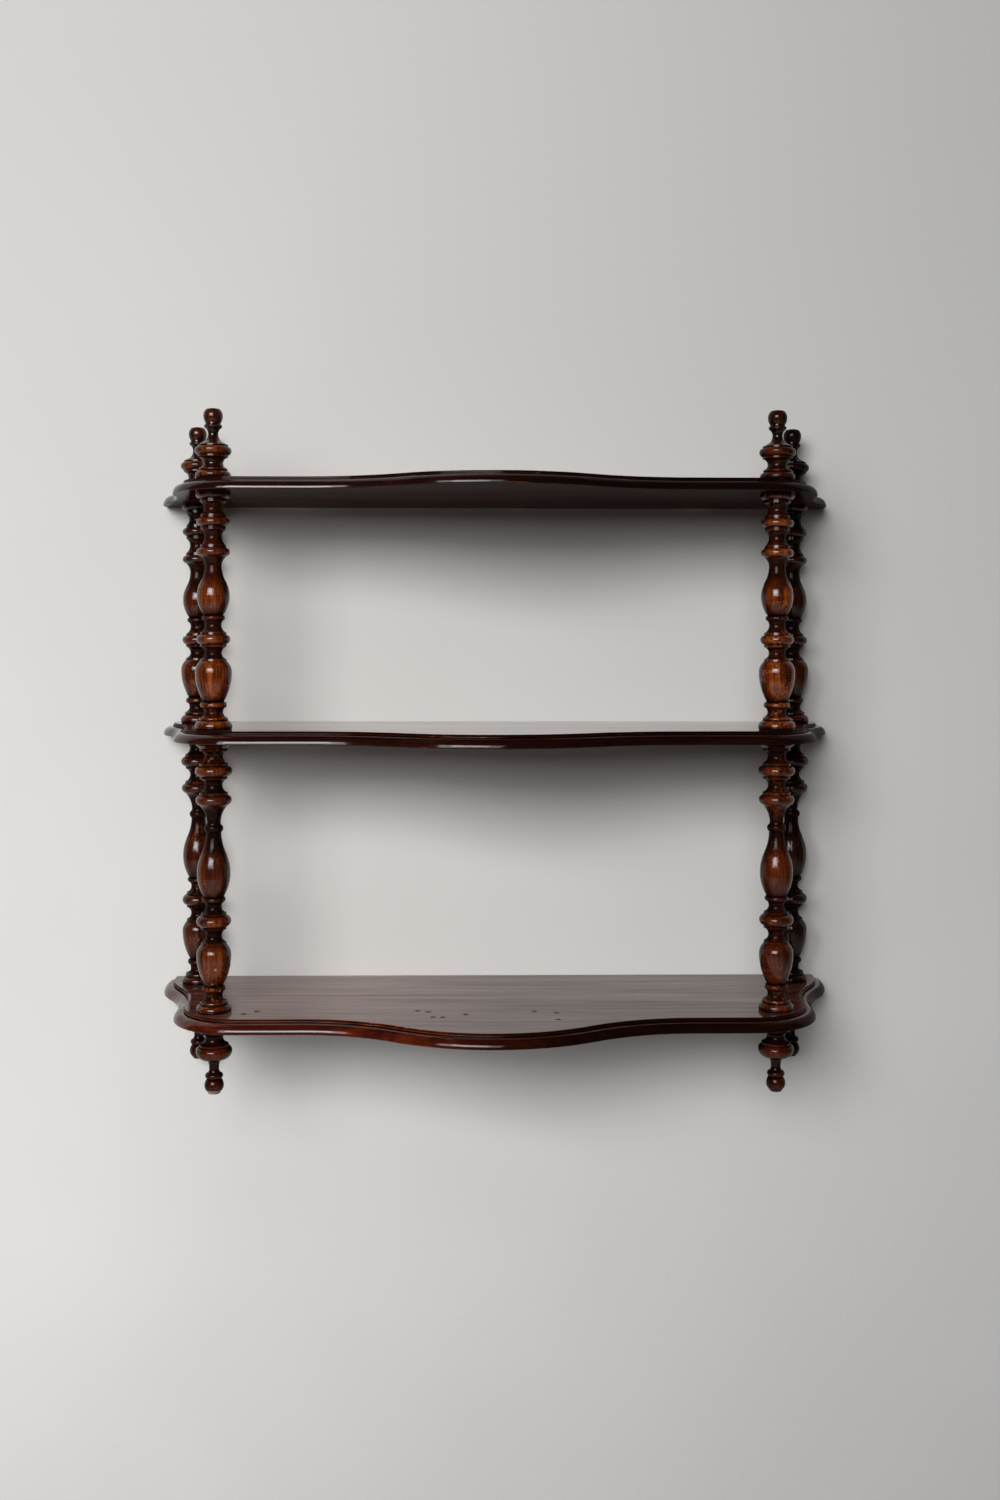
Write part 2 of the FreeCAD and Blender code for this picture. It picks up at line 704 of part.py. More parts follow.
def make_dowel(body):
    """A plain chamfered dowel that runs from one turning's socket through a board into the next."""
    length = "board_thickness + 2 * socket_depth - 2 * dowel_end_gap"
    end_radius, radius, end = size("dowel_radius - dowel_chamfer"), size("dowel_radius"), size(length)
    profile = new_sketch(body, f"{body.Name}_profile", "XZ_Plane")
    draw_outline(profile, [
        fixed_corner(None, None),
        fixed_corner(end_radius, None),
        fixed_corner(radius, size("dowel_chamfer")),
        fixed_corner(radius, size(f"{length} - dowel_chamfer")),
        fixed_corner(end_radius, end),
        fixed_corner(None, end),
    ])
    revolve(body, profile)


def make_hanger_plate(body):
    """A brass plate with an eye above the board and two countersunk holes in its bar."""
    outline = new_sketch(body, f"{body.Name}_outline", "XZ_Plane")
    draw_plate(outline, "0", "0", "0")
    draw_circle(outline, None, None, size("eye_radius"))
    hole = size("screw_shank_radius + screw_clearance")
    for sign in SCREW_SIGNS:
        draw_circle(outline, size(f"{sign} plate_screw_spacing / 2"), SCREW_HEIGHT, hole)
    blank = pad(body, outline, size("plate_thickness"))
    doc.recompute()

    near = Part.Precision.confusion()
    rims = [
        f"Edge{number}" for number, edge in enumerate(blank.Shape.Edges, start=1)
        if edge.Closed and abs(edge.Curve.Radius - hole.value) < near and abs(edge.CenterOfMass.y) < near
    ]
    countersink = body.newObject("PartDesign::Chamfer", f"{body.Name}_countersink")
    countersink.Base = (blank, rims)
    countersink.setExpression("Size", size("screw_head_radius - screw_shank_radius").text)


def make_hanger_screw(body):
    """A slotted countersunk screw that runs along its body's Z axis from the face of its head."""
    head, shank = size("screw_head_radius"), size("screw_shank_radius")
    profile = new_sketch(body, f"{body.Name}_profile", "XZ_Plane")
    draw_outline(profile, [
        fixed_corner(None, None),
        fixed_corner(head, None),
        fixed_corner(shank, size("screw_head_radius - screw_shank_radius")),
        fixed_corner(shank, size("screw_length - screw_tip_length")),
        fixed_corner(None, size("screw_length")),
    ])
    revolve(body, profile)
    slot = new_sketch(body, f"{body.Name}_slot", "XY_Plane")
    half_length = "screw_head_radius + screw_clearance"
    draw_rectangle(slot, half_length, size("- slot_width / 2"), size("slot_width / 2"))
    pocket(body, slot, size("slot_depth"))


def along_columns(name, height, make, turn=0.0):
    """Makes a piece on the first column and repeats it on the others."""
    bodies = []
    for place, (x, y) in COLUMNS.items():
        body = new_body(f"{name}_{place}", (x, y, size(height)), turn)
        if bodies:
            repeat_shape(body, bodies[0])
        else:
            make(body)
        bodies.append(body)
    return bodies


UNDERSIDES = {"top": TOP_UNDERSIDE, "middle": MIDDLE_UNDERSIDE, "bottom": BOTTOM_UNDERSIDE}
shelves = {
    level: new_body(f"{level}_shelf", (None, None, size(underside)))
    for level, underside in UNDERSIDES.items()
}
make_board(shelves["top"])
let_in_hangers(shelves["top"])
make_board(shelves["middle"])
repeat_shape(shelves["bottom"], shelves["middle"])
pieces = [*shelves.values()]

for label, kind, seat, meets_board_above, turn in (
    ("finial", "finial", TOP_FACE, False, 0.0),
    ("upper_spindle", "upper", MIDDLE_FACE, True, 0.0),
    ("lower_spindle", "lower", BOTTOM_FACE, True, 0.0),
    ("pendant", "pendant", BOTTOM_UNDERSIDE, False, 180.0),
):
    make = partial(make_turning, kind=kind, meets_board_above=meets_board_above)
    pieces += along_columns(label, seat, make, turn)
for level, underside in UNDERSIDES.items():
    pieces += along_columns(f"{level}_dowel", f"{underside} - socket_depth + dowel_end_gap", make_dowel)

plates = []
screws = []
for hand, x in HANGERS.items():
    plates.append(new_body(f"hanger_plate_{hand}", (size(x), None, None)))
    for number, sign in enumerate(SCREW_SIGNS, start=1):
        place = (size(f"{x} {sign} plate_screw_spacing / 2"), None, SCREW_HEIGHT)
        screws.append(new_body(f"hanger_screw_{hand}_{number}", place, turn=90.0))
for bodies, make in ((plates, make_hanger_plate), (screws, make_hanger_screw)):
    make(bodies[0])
    for body in bodies[1:]:
        repeat_shape(body, bodies[0])
screw_group = doc.addObject("Part::Compound", "hanger_screws")
screw_group.Links = screws
pieces += [*plates, screw_group]

doc.recompute()

for item in doc.Objects:
    if "Invalid" in item.State or "Error" in item.State:
        raise RuntimeError(f"{item.Name} failed: {item.State}")
for piece in pieces:
    if piece.Shape.isNull() or not piece.Shape.isValid():
        raise RuntimeError(f"{piece.Label} has no valid shape")

os.makedirs("parts", exist_ok=True)
for piece in pieces:
    piece.Shape.exportStep(f"parts/{piece.Label}.step")
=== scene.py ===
"""Looks of a wall-hung etagere in stained, varnished wood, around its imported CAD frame.

Metres, in the part's own frame: +Z up, the wall behind at y = 0, the front towards -Y.
"""
import json
import math

import bpy
from mathutils import Matrix, Vector


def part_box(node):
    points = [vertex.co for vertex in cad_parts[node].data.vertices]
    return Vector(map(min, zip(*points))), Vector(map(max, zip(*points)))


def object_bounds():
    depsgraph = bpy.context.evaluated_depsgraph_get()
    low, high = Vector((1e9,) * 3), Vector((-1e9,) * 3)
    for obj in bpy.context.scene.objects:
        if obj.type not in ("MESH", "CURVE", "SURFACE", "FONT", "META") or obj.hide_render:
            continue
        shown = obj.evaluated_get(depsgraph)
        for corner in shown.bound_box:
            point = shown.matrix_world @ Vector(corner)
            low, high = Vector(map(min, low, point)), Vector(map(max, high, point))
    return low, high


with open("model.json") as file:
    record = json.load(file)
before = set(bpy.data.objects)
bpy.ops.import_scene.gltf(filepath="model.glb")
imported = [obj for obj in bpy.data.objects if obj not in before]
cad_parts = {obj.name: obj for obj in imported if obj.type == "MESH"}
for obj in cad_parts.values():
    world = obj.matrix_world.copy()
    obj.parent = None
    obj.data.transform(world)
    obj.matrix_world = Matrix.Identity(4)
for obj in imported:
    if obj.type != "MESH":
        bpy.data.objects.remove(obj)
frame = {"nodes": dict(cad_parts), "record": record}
cad_low, cad_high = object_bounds()
nodes = frame["nodes"]
scene = bpy.context.scene
MM = 0.001


class Shader:
    """A material's node tree, with short calls for the nodes that the materials share."""

    def __init__(self, name):
        self.material = bpy.data.materials.new(name)
        self.material.use_nodes = True
        self.tree = self.material.node_tree
        self.tree.nodes.clear()
        self.place = self.add("ShaderNodeTexCoord").outputs["Object"]

    def add(self, kind, inputs=None, **settings):
        """A node with its settings, and its inputs by name or number as values or links."""
        node = self.tree.nodes.new(kind)
        for key, value in settings.items():
            setattr(node, key, value)
        for key, value in (inputs or {}).items():
            self.feed(node.inputs[key], value)
        return node

    def feed(self, socket, value):
        if isinstance(value, bpy.types.NodeSocket):
            self.tree.links.new(value, socket)
        else:
            socket.default_value = value

    def math(self, operation, first, second=0.0):
        return self.add("ShaderNodeMath", {0: first, 1: second}, operation=operation).outputs[0]

    def product(self, value, *factors):
        """A value times each factor."""
        for factor in factors:
            value = self.math("MULTIPLY", value, factor)
        return value

    def total(self, *shares, start=0.0):
        """A start value plus each value times its share."""
        for value, share in shares:
            inputs = {0: value, 1: share, 2: start}
            start = self.add("ShaderNodeMath", inputs, operation="MULTIPLY_ADD").outputs[0]
        return start

    def rest(self, value):
        """What a value leaves of 1."""
        return self.math("SUBTRACT", 1.0, value)

    def length(self, first, second):
        """The length of a line that goes so far along each of two axes."""
        return self.math("SQRT", self.total((first, first), (second, second)))

    def axes(self, vector):
        """The x, y and z of a vector."""
        return self.add("ShaderNodeSeparateXYZ", {0: vector}).outputs

    def noise(self, scales, detail=3.0, roughness=0.5, distortion=0.0):
        """Noise from 0 to 1 whose features repeat so many times a metre along each axis."""
        place = self.add("ShaderNodeVectorMath", {0: self.place, 1: scales}, operation="MULTIPLY")
        inputs = {
            "Vector": place.outputs[0],
            "Scale": 1.0,
            "Detail": detail,
            "Roughness": roughness,
            "Distortion": distortion,
        }
        return self.add("ShaderNodeTexNoise", inputs).outputs["Fac"]

    def rise(self, value, low, high):
        """Climbs smoothly from 0 at low to 1 at high, or falls where low is above high."""
        inputs = {"Value": value, "From Min": low, "From Max": high}
        return self.add("ShaderNodeMapRange", inputs, interpolation_type="SMOOTHSTEP").outputs["Result"]

    def ramp(self, factor, *stops):
        """A colour from stops of a position and a colour."""
        node = self.add("ShaderNodeValToRGB", {"Fac": factor})
        elements = node.color_ramp.elements
        while len(elements) < len(stops):
            elements.new(1.0)
        for element, (position, colour) in zip(elements, stops):
            element.position = position
            element.color = (*colour, 1.0)
        return node.outputs["Color"]

    def mix(self, factor, first, second, blend="MIX"):
        node = self.add("ShaderNodeMix", data_type="RGBA", blend_type=blend)
        for socket, value in ((node.inputs[0], factor), (node.inputs[6], first), (node.inputs[7], second)):
            self.feed(socket, (*value, 1.0) if isinstance(value, tuple) else value)
        return node.outputs[2]

    def occlusion(self, distance, inside=False, alone=True):
        """How open a spot is, from 0 to 1.

        Crevices are low, those of its own piece or else of all pieces. If inside, convex edges are low.
        """
        inputs = {"Distance": distance}
        node = self.add("ShaderNodeAmbientOcclusion", inputs, inside=inside, only_local=alone, samples=8)
        return node.outputs["AO"]

    def bump(self, height, distance):
        return self.add("ShaderNodeBump", {"Height": height, "Distance": distance}).outputs["Normal"]

    def surface(self, **inputs):
        """Ends the tree in a Principled shader, whose inputs are named with underscores for spaces."""
        sockets = {key.replace("_", " "): value for key, value in inputs.items()}
        shader = self.add("ShaderNodeBsdfPrincipled", sockets)
        self.add("ShaderNodeOutputMaterial", {"Surface": shader.outputs[0]})
        return self.material


def srgb(red, green, blue):
    """A colour written as 0 to 255, in the linear values that shaders take."""
    def linear(channel):
        share = channel / 255
        return share / 12.92 if share <= 0.04045 else ((share + 0.055) / 1.055) ** 2.4
    return tuple(linear(channel) for channel in (red, green, blue))


# Turned wood of the columns
def axis_of(node):
    """The x and y of a turning's axis."""
    low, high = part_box(node)
    return (low.x + high.x) / 2, (low.y + high.y) / 2


FRONT_X, FRONT_Y = axis_of("upper_spindle_front_right")
REAR_X, REAR_Y = axis_of("upper_spindle_rear_right")
NECK_RADIUS = 9 * MM
BODY_RADIUS = 13 * MM
SCUFF_HEIGHT = 5.5 * MM
SCUFF_FADE = 1 * MM
PENDANT_TINT = (1.0, 0.72, 0.75)
VARNISH_IOR = 1.42


def column_spot(s):
    """How a spot lies on its column.

    Gives 1 on a front column, 1 on a right one, the radius, and the facing from -1 in front to 1 behind.
    """
    x, y, _ = s.axes(s.place)
    at_front = s.math("LESS_THAN", y, (FRONT_Y + REAR_Y) / 2)
    at_right = s.math("GREATER_THAN", x, 0.0)
    axis_x = s.total((at_front, FRONT_X - REAR_X), start=REAR_X)
    axis_y = s.total((at_front, FRONT_Y - REAR_Y), start=REAR_Y)
    across = s.math("SUBTRACT", s.math("ABSOLUTE", x), axis_x)
    along = s.math("SUBTRACT", y, axis_y)
    radius = s.length(across, along)
    facing = s.math("DIVIDE", along, s.math("MAXIMUM", radius, MM))
    return at_front, at_right, radius, facing


def column_tier(s, z):
    """Gives 1 on a finial, 1 below the middle shelf, and 1 on a pendant."""
    is_finial = s.math("GREATER_THAN", z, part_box("top_shelf")[1].z)
    is_lower = s.math("LESS_THAN", z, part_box("middle_shelf")[0].z)
    is_pendant = s.math("LESS_THAN", z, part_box("bottom_shelf")[0].z)
    return is_finial, is_lower, is_pendant


def turned_wood():
    """Stained hardwood off the lathe: painted light in front and painted shade at the sides, darker in the
    coves partly as painted shade, orange where rubbed.
    """
    s = Shader("turned_wood")
    z = s.axes(s.place)[2]
    at_front, at_right, radius, facing = column_spot(s)
    is_finial, is_lower, is_pendant = column_tier(s, z)

    # Painted shade darkens the right finial, the right lower spindle and the rear right column, the last
    # as the shadow of the front one; the pendants and lower spindles are darker as well
    stain_and_shade = s.total(
        (is_finial, 0.02), (s.product(is_finial, at_right), 0.36),
        (is_lower, 0.07), (s.product(is_lower, at_right), 0.12),
        (is_pendant, 0.2), (s.product(s.rest(at_front), at_right), 0.3),
    )
    # Painted light: faces turned to the front, and less so those turned to the back, are lighter and the
    # sides darker; the rear columns get less of the front light
    front_painted_light = s.product(s.rise(facing, -0.2, -0.95), s.total((at_front, 0.45), start=0.55))
    back_painted_light = s.product(s.rise(facing, 0.2, 0.95), 0.8)
    painted_face_light = s.total((s.math("MAXIMUM", front_painted_light, back_painted_light), 0.55), start=0.45)
    painted_face_light = s.product(painted_face_light, s.rest(stain_and_shade))

    figure = s.noise((70, 70, 10), detail=4.0, distortion=0.6)
    streaks = s.noise((430, 430, 14), detail=4.0, roughness=0.7)
    pores = s.noise((1900, 1900, 120), detail=1.0)
    rings = s.noise((4, 4, 1100), detail=1.0)
    patches = s.noise((30, 30, 24), detail=2.0)
    grain = s.rise(s.total((figure, 0.45), (streaks, 0.47), (rings, 0.08)), 0.34, 0.66)
    grain = s.total((grain, 0.7), start=0.32)

    # The staining is rubbed thin on what stands proud and on sharp edges; the painted light and the
    # painted shade go into the same colour ramp
    at_end = s.math("ADD", is_finial, is_pendant)
    proud = s.rise(s.total((patches, 6 * MM), (at_end, 3 * MM), start=radius), 8.5 * MM, 18.5 * MM)
    proud = s.total((proud, 0.55), start=0.45)
    # Painted shade, with staining gathered there: coves and spots near other pieces are darker
    bare = s.rise(s.occlusion(11 * MM), 0.62, 1.0)
    bare = s.product(bare, s.rise(s.occlusion(18 * MM, alone=False), 0.3, 0.9))
    edges = s.rise(s.occlusion(1.2 * MM, inside=True), 0.86, 0.6)
    specks = s.rise(pores, 0.38, 0.30)
    worn_and_lit = s.total((edges, 0.12), (specks, -0.15), start=s.product(proud, painted_face_light, bare, grain))
    colour = s.ramp(
        worn_and_lit,
        (0.0, srgb(8, 4, 3)), (0.2, srgb(22, 8, 4)), (0.45, srgb(57, 20, 6)),
        (0.7, srgb(91, 36, 9)), (1.0, srgb(142, 70, 21)),
    )
    colour = s.mix(is_pendant, colour, PENDANT_TINT, blend="MULTIPLY")

    # Burl and chips show in patches, least under heavy staining and painted shade, and on the rear columns
    rubbed = s.product(s.rise(patches, 0.5, 0.62), bare, s.rise(stain_and_shade, 0.35, 0.0))
    rubbed = s.product(rubbed, s.total((at_front, 0.6), start=0.4))
    burl = s.product(s.rise(s.noise((330, 330, 240), detail=2.0), 0.52, 0.66), rubbed, 0.45)
    colour = s.mix(burl, colour, srgb(166, 84, 28))
    chips = s.product(s.rise(s.noise((230, 230, 150), detail=2.0), 0.69, 0.72), rubbed)
    colour = s.mix(chips, colour, srgb(190, 130, 74))

    # The foot of the front left pendant is scuffed bare
    scuff_z = cad_low.z + SCUFF_HEIGHT
    foot = s.rise(s.total((figure, 3 * MM), start=z), scuff_z + SCUFF_FADE, scuff_z)
    foot = s.product(foot, at_front, s.rest(at_right))
    colour = s.mix(foot, colour, srgb(150, 136, 122))

    # Necks, coves, heavy staining and painted shade are duller than round bodies and ends
    gloss = s.total((is_pendant, 0.6), start=is_finial)
    gloss = s.math("MAXIMUM", s.rise(radius, NECK_RADIUS, BODY_RADIUS), gloss)
    gloss = s.product(s.total((gloss, 0.75), start=0.25), s.total((bare, 0.6), start=0.4), s.rest(stain_and_shade))
    relief = s.total((pores, 0.6), (chips, -1.0), start=streaks)
    varnish = s.noise((200, 200, 120), detail=2.0)
    return s.surface(
        Base_Color=colour, Roughness=s.total((streaks, 0.2), start=0.35), Normal=s.bump(relief, 0.04 * MM),
        Specular_IOR_Level=0.0, Coat_Weight=gloss, Coat_Roughness=0.12, Coat_IOR=VARNISH_IOR,
        Coat_Normal=s.bump(varnish, 0.16 * MM),
    )


# Boards: the tree's heart lay below them, so its rings run along their length
HEART_Y = -110 * MM
HEART_BELOW = 50 * MM
RING_SPACING = 9 * MM
RING_WARP = 30 * MM

# Above the quirk in a board's edge the varnish is dull
QUIRK_HEIGHT = 7.7 * MM
QUIRK_FADE = 1 * MM

# Small dents in the varnish of the bottom shelf, as x and y
DENTS = [
    (-71 * MM, -143 * MM), (-61 * MM, -147 * MM), (-56 * MM, -166 * MM), (-47 * MM, -167 * MM),
    (-27 * MM, -157 * MM), (35 * MM, -147 * MM), (55 * MM, -152 * MM), (55 * MM, -176 * MM),
    (-226 * MM, -153 * MM), (-216 * MM, -143 * MM),
]
DENT_RADIUS = 4 * MM


def growth_rings(s, y, height):
    """A wave from -1 to 1 for each of the tree's rings."""
    warp = s.noise((2.2, 9, 9), detail=2.0)
    radius = s.length(s.math("SUBTRACT", y, HEART_Y), s.math("ADD", height, HEART_BELOW))
    radius = s.total((warp, RING_WARP), start=radius)
    return s.math("SINE", s.product(radius, 2 * math.pi / RING_SPACING))


def dent_pits(s, x, y, dents):
    """How far a spot lies in a ragged dent, from 0 to 1."""
    pits = 0.0
    for dent_x, dent_y in dents:
        across = s.math("DIVIDE", s.math("SUBTRACT", x, dent_x), DENT_RADIUS)
        along = s.math("DIVIDE", s.math("SUBTRACT", y, dent_y), DENT_RADIUS)
        ragged = s.noise((260, 700, 700), detail=2.0)
        away = s.total((across, across), (along, along), (ragged, 2.0))
        pits = s.math("MAXIMUM", pits, s.rise(away, 1.8, 1.0))
    return pits


def board_wood(label, stain_and_shade, rubbed_x=0.0, dents=()):
    """A varnished board with its grain along X.

    How dark its edge is at the left and at the right is given as staining with painted shade, which
    deepens to the right, away from the light. The edge is rubbed bare around an x.
    """
    s = Shader(f"{label}_wood")
    x, y, z = s.axes(s.place)
    height = s.math("SUBTRACT", z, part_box(label)[0].z)
    facing_up = s.axes(s.add("ShaderNodeNewGeometry").outputs["True Normal"])[2]
    on_top = s.rise(facing_up, 0.9, 0.98)
    below = s.rise(facing_up, -0.9, -0.98)
    on_edge = s.total((on_top, -1.0), (below, -1.0), start=1.0)
    # Painted shade: the edge darkens towards the right, where it faces away from the light, over its
    # staining; the top and underside take half of it
    rightward = s.rise(x, -130 * MM, 90 * MM)
    left_stain_and_shade, right_stain_and_shade = stain_and_shade
    dark = s.total((rightward, right_stain_and_shade - left_stain_and_shade), start=left_stain_and_shade)
    dark = s.product(dark, s.total((on_edge, 0.5), start=0.5))

    figure = s.noise((4, 60, 60), detail=4.0)
    lines = s.noise((5, 130, 130), detail=3.0, roughness=0.6)
    streaks = s.noise((12, 420, 420), detail=3.0, roughness=0.6)
    pores = s.noise((75, 1300, 1300), detail=1.0)
    tone = s.total((figure, 0.3), (lines, 0.4), (streaks, 0.3), (growth_rings(s, y, height), 0.03))
    edge = s.ramp(tone, (0.36, srgb(50, 13, 5)), (0.5, srgb(96, 29, 10)), (0.64, srgb(136, 50, 16)))
    top = s.ramp(tone, (0.36, srgb(50, 24, 19)), (0.5, srgb(90, 48, 39)), (0.64, srgb(128, 74, 60)))
    colour = s.mix(on_top, edge, top)
    # Painted reflection: the left part of the top is paler, as the bright wall is mirrored there
    painted_reflection = s.product(s.rise(x, 60 * MM, -170 * MM), s.rise(x, -290 * MM, -210 * MM), on_top, 0.5)
    colour = s.mix(painted_reflection, colour, srgb(150, 116, 107))
    specks = s.product(s.rise(pores, 0.37, 0.30), 0.6)
    colour = s.mix(specks, colour, srgb(20, 8, 7))
    colour = s.mix(dark, colour, srgb(10, 5, 4))
    # Painted shade: darker in the grooves and the quirk
    groove_shade = s.rise(s.occlusion(4.5 * MM), 0.99, 0.66)
    colour = s.mix(groove_shade, colour, srgb(7, 3, 2))

    # Sharp edges are worn, and bare in places
    near = s.rise(s.math("ABSOLUTE", s.math("SUBTRACT", x, rubbed_x)), 60 * MM, 10 * MM)
    rubbed = s.total((near, 0.12), start=s.noise((35, 220, 220), detail=4.0, roughness=0.7))
    arris = s.rise(s.occlusion(1.0 * MM, inside=True), 0.9, 0.6)
    arris = s.product(arris, s.rise(rubbed, 0.35, 0.6), s.rest(dark))
    colour = s.mix(arris, colour, srgb(146, 66, 36))
    bare = s.rise(s.occlusion(1.6 * MM, inside=True), 0.85, 0.65)
    bare = s.product(bare, s.rise(rubbed, 0.64, 0.76), 0.7)
    colour = s.mix(bare, colour, srgb(190, 106, 58))
    pits = s.product(dent_pits(s, x, y, dents), on_top)
    colour = s.mix(pits, colour, srgb(14, 6, 5))

    # The edge is dull towards the right, above its quirk and in grooves, and the grain shows in the sheen
    above_quirk = s.rise(height, QUIRK_HEIGHT, QUIRK_HEIGHT + QUIRK_FADE)
    dull = s.product(s.math("MAXIMUM", above_quirk, rightward), 0.75)
    dull = s.product(s.math("MAXIMUM", dull, s.product(groove_shade, 0.8)), on_edge)
    dull = s.math("MAXIMUM", dull, s.product(pits, 0.85))
    sheen = s.total((s.rise(facing_up, -0.9, -0.4), 0.58), start=0.42)
    sheen = s.product(sheen, s.rest(dull), s.total((lines, 0.8), (streaks, 0.6), start=0.3))
    relief = s.total((lines, 2.0), (pores, 0.6), (pits, -6.0), start=streaks)
    varnish = s.total((lines, 0.5), (pits, -2.0), start=s.noise((40, 160, 160), detail=2.0))
    return s.surface(
        Base_Color=colour, Roughness=s.total((streaks, 0.2), start=0.35), Normal=s.bump(relief, 0.04 * MM),
        Specular_IOR_Level=0.0, Coat_Weight=sheen, Coat_Roughness=0.1, Coat_IOR=VARNISH_IOR,
        Coat_Normal=s.bump(varnish, 0.05 * MM),
    )


# Dowels and hangers
def dowel_wood():
    """Plain beech, with short dark flecks along the dowel."""
    s = Shader("dowel_wood")
    streaks = s.noise((500, 500, 20), detail=3.0)
    flecks = s.noise((900, 900, 240), detail=1.0)
    colour = s.ramp(streaks, (0.3, srgb(170, 126, 84)), (0.7, srgb(206, 166, 120)))
    colour = s.mix(s.rise(flecks, 0.36, 0.3), colour, srgb(128, 84, 52))
    return s.surface(Base_Color=colour, Roughness=0.6, Normal=s.bump(streaks, 0.05 * MM))


def metal(name, bright, dull, brushed):
    """Worn metal: brush marks along X, and tarnish in patches and crevices."""
    s = Shader(name)
    brush = s.noise((60, 2500, 2500), detail=2.0)
    patches = s.noise((140, 140, 140), detail=4.0, roughness=0.65)
    tarnish = s.product(s.rise(patches, 0.4, 0.65), 0.8)
    tarnish = s.math("MAXIMUM", tarnish, s.rise(s.occlusion(1.5 * MM), 0.8, 0.4))
    colour = s.mix(tarnish, bright, dull)
    roughness = s.total((tarnish, 0.25), start=brushed)
    return s.surface(Base_Color=colour, Metallic=1.0, Roughness=roughness, Normal=s.bump(brush, 0.02 * MM))


finishes = {
    "turned_wood": turned_wood(),
    "dowel_wood": dowel_wood(),
    "hanger_brass": metal("hanger_brass", srgb(214, 172, 92), srgb(120, 86, 40), brushed=0.3),
    "screw_steel": metal("screw_steel", srgb(176, 170, 162), srgb(92, 84, 76), brushed=0.35),
    "top_shelf": board_wood("top_shelf", stain_and_shade=(0.9, 0.97)),
    "middle_shelf": board_wood("middle_shelf", stain_and_shade=(0.85, 0.96), rubbed_x=-35 * MM),
    "bottom_shelf": board_wood("bottom_shelf", stain_and_shade=(0.5, 0.96), rubbed_x=-90 * MM, dents=DENTS),
}
for subpart in frame["record"]["subparts"]:
    node, slot = subpart["node"], subpart["material_slot"]
    nodes[node].data.materials[0] = finishes[node] if slot == "board_wood" else finishes[slot]

# The stage: a pale wall behind the shelf, seen from the front only, and a pale floor below
WALL_Y = 1.5 * MM
FLOOR_Z = -1.35
STAGE_HALF = 4.0
# The wall's colours carry painted light: lighter low down, as a painted pool of light, and darker towards
# the right, as painted shade
PAINTED_LIGHT_LOW_Z, PAINTED_LIGHT_HIGH_Z = -0.9, 0.6
PAINTED_SHADE_LEFT_X, PAINTED_SHADE_RIGHT_X = -0.7, 0.7
WALL_LOW_PAINT_AND_LIGHT = srgb(244, 242, 239)
WALL_HIGH_PAINT_AND_LIGHT = srgb(213, 211, 208)
FLOOR_PAINT = srgb(222, 220, 216)


def plane(name, corners):
    mesh = bpy.data.meshes.new(name)
    mesh.from_pydata(corners, [], [range(len(corners))])
    piece = bpy.data.objects.new(name, mesh)
    scene.collection.objects.link(piece)
    return piece


def plaster(name, low_colour, high_colour, right_shade=1.0):
    """Matt paint with a faint roller texture, see-through from behind.

    It goes from a painted pool of light low down to a dimmer colour higher up, and to a painted shade of
    them at the right.
    """
    s = Shader(name)
    x, _, z = s.axes(s.place)
    colour = s.mix(s.rise(z, PAINTED_LIGHT_LOW_Z, PAINTED_LIGHT_HIGH_Z), low_colour, high_colour)
    shade = s.mix(s.rise(x, PAINTED_SHADE_LEFT_X, PAINTED_SHADE_RIGHT_X), (1.0, 1.0, 1.0), (right_shade,) * 3)
    colour = s.mix(1.0, colour, shade, blend="MULTIPLY")
    tone = s.product(s.noise((3, 3, 3), detail=3.0), 0.5)
    colour = s.mix(tone, colour, tuple(channel * 0.9 for channel in high_colour))
    normal = s.bump(s.noise((260, 260, 260), detail=3.0), 0.2 * MM)
    paint = s.add("ShaderNodeBsdfDiffuse", {"Color": colour, "Normal": normal})
    behind = s.add("ShaderNodeNewGeometry").outputs["Backfacing"]
    clear = s.add("ShaderNodeBsdfTransparent")
    shader = s.add("ShaderNodeMixShader", {0: behind, 1: paint.outputs[0], 2: clear.outputs[0]})
    s.add("ShaderNodeOutputMaterial", {"Surface": shader.outputs[0]})
    return s.material


wall = plane("wall", [
    (-STAGE_HALF, WALL_Y, FLOOR_Z), (STAGE_HALF, WALL_Y, FLOOR_Z),
    (STAGE_HALF, WALL_Y, STAGE_HALF), (-STAGE_HALF, WALL_Y, STAGE_HALF),
])
wall.data.materials.append(plaster("wall_paint_and_light", WALL_LOW_PAINT_AND_LIGHT, WALL_HIGH_PAINT_AND_LIGHT, right_shade=0.78))
wall.visible_diffuse = False
wall.visible_shadow = False
floor = plane("floor", [
    (-STAGE_HALF, -STAGE_HALF, FLOOR_Z), (STAGE_HALF, -STAGE_HALF, FLOOR_Z),
    (STAGE_HALF, STAGE_HALF, FLOOR_Z), (-STAGE_HALF, STAGE_HALF, FLOOR_Z),
])
floor.data.materials.append(plaster("floor_paint", FLOOR_PAINT, FLOOR_PAINT))
floor.visible_diffuse = False

# Light: a soft main lamp in a wider glow above and left of the camera, a bounce from below left, and weak
# glows from the right and from behind
AIM = Vector((0.0, -0.1, -0.25))


def lamp(name, turn, climb, distance, width, height, radiance, mirrored=True):
    """A soft rectangular lamp aimed at the shelf, turned from the front and raised by degrees."""
    turn, climb = math.radians(turn), math.radians(climb)
    way = Vector((math.sin(turn) * math.cos(climb), -math.cos(turn) * math.cos(climb), math.sin(climb)))
    light = bpy.data.lights.new(name, "AREA")
    light.shape = "RECTANGLE"
    light.size = width
    light.size_y = height
    light.energy = radiance * math.pi * width * height
    piece = bpy.data.objects.new(name, light)
    piece.location = AIM + way * distance
    piece.rotation_euler = (-way).to_track_quat("-Z", "Y").to_euler()
    piece.visible_camera = False
    piece.visible_glossy = mirrored
    scene.collection.objects.link(piece)


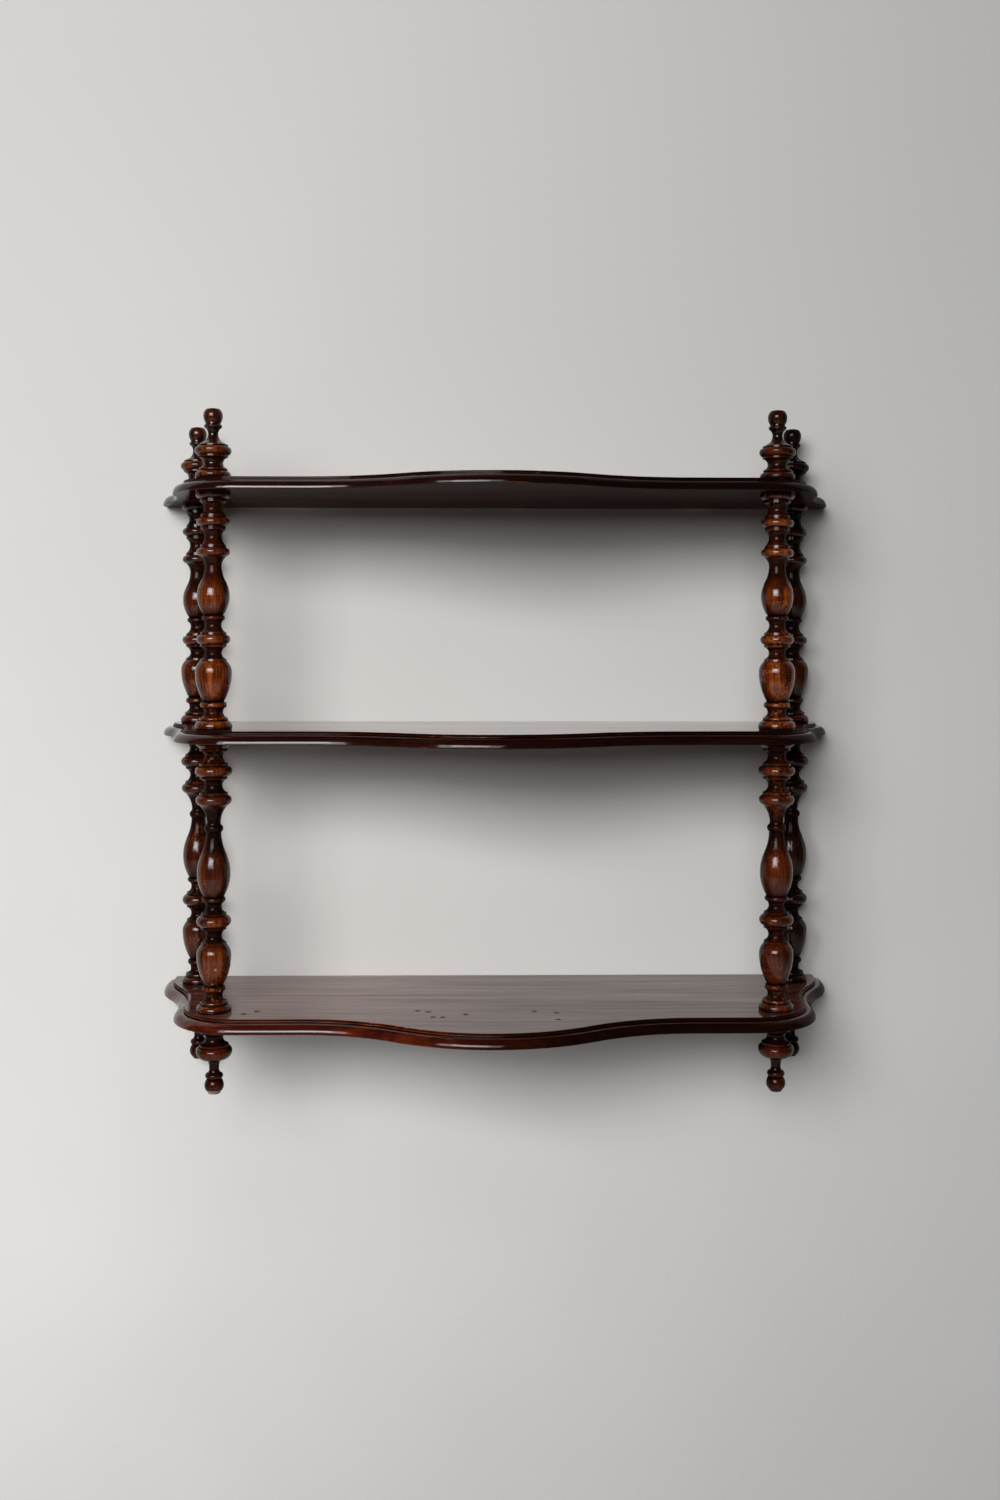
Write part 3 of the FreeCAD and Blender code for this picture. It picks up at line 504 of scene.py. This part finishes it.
lamp("main_lamp", turn=-17, climb=20, distance=3.2, width=1.36, height=0.88, radiance=9.5)
lamp("main_glow", turn=-17, climb=18, distance=3.25, width=2.4, height=1.44, radiance=6.3)
lamp("bounce", turn=-60, climb=-35, distance=1.2, width=0.6, height=0.6, radiance=1.2, mirrored=False)
lamp("right_glow", turn=105, climb=15, distance=2.2, width=0.9, height=1.4, radiance=6.0, mirrored=False)
lamp("back_glow", turn=165, climb=20, distance=2.2, width=2.0, height=2.0, radiance=2.2)

# The surroundings give little light, but are pale where the camera sees them
DIM_COLOUR = (0.86, 0.86, 0.87, 1.0)
DIM_STRENGTH = 0.05
PALE_COLOUR = (*srgb(214, 211, 208), 1.0)
world = bpy.data.worlds.new("surroundings")
world.use_nodes = True
scene.world = world
tree = world.node_tree
dim = tree.nodes["Background"]
dim.inputs["Color"].default_value = DIM_COLOUR
dim.inputs["Strength"].default_value = DIM_STRENGTH
pale = tree.nodes.new("ShaderNodeBackground")
pale.inputs["Color"].default_value = PALE_COLOUR
choice = tree.nodes.new("ShaderNodeMixShader")
tree.links.new(tree.nodes.new("ShaderNodeLightPath").outputs["Is Camera Ray"], choice.inputs[0])
tree.links.new(dim.outputs[0], choice.inputs[1])
tree.links.new(pale.outputs[0], choice.inputs[2])
tree.links.new(choice.outputs[0], tree.nodes["World Output"].inputs["Surface"])

# Camera, as the photograph was taken
CAMERA_AT = (-0.0026, -1.4618, -0.1592)
PITCH_DOWN = math.radians(0.67)
TURN_RIGHT = math.radians(1.0)
ROLL = math.radians(0.05)
camera_data = bpy.data.cameras.new("camera")
camera_data.sensor_width = 36.0
camera_data.lens = 35.0
camera_data.shift_x = -0.0125
camera_data.shift_y = -0.0574
camera = bpy.data.objects.new("camera", camera_data)
camera.matrix_world = (
    Matrix.Translation(CAMERA_AT)
    @ Matrix.Rotation(-TURN_RIGHT, 4, "Z")
    @ Matrix.Rotation(math.pi / 2 - PITCH_DOWN, 4, "X")
    @ Matrix.Rotation(ROLL, 4, "Z")
)
scene.collection.objects.link(camera)
scene.camera = camera
scene.view_settings.view_transform = "Standard"
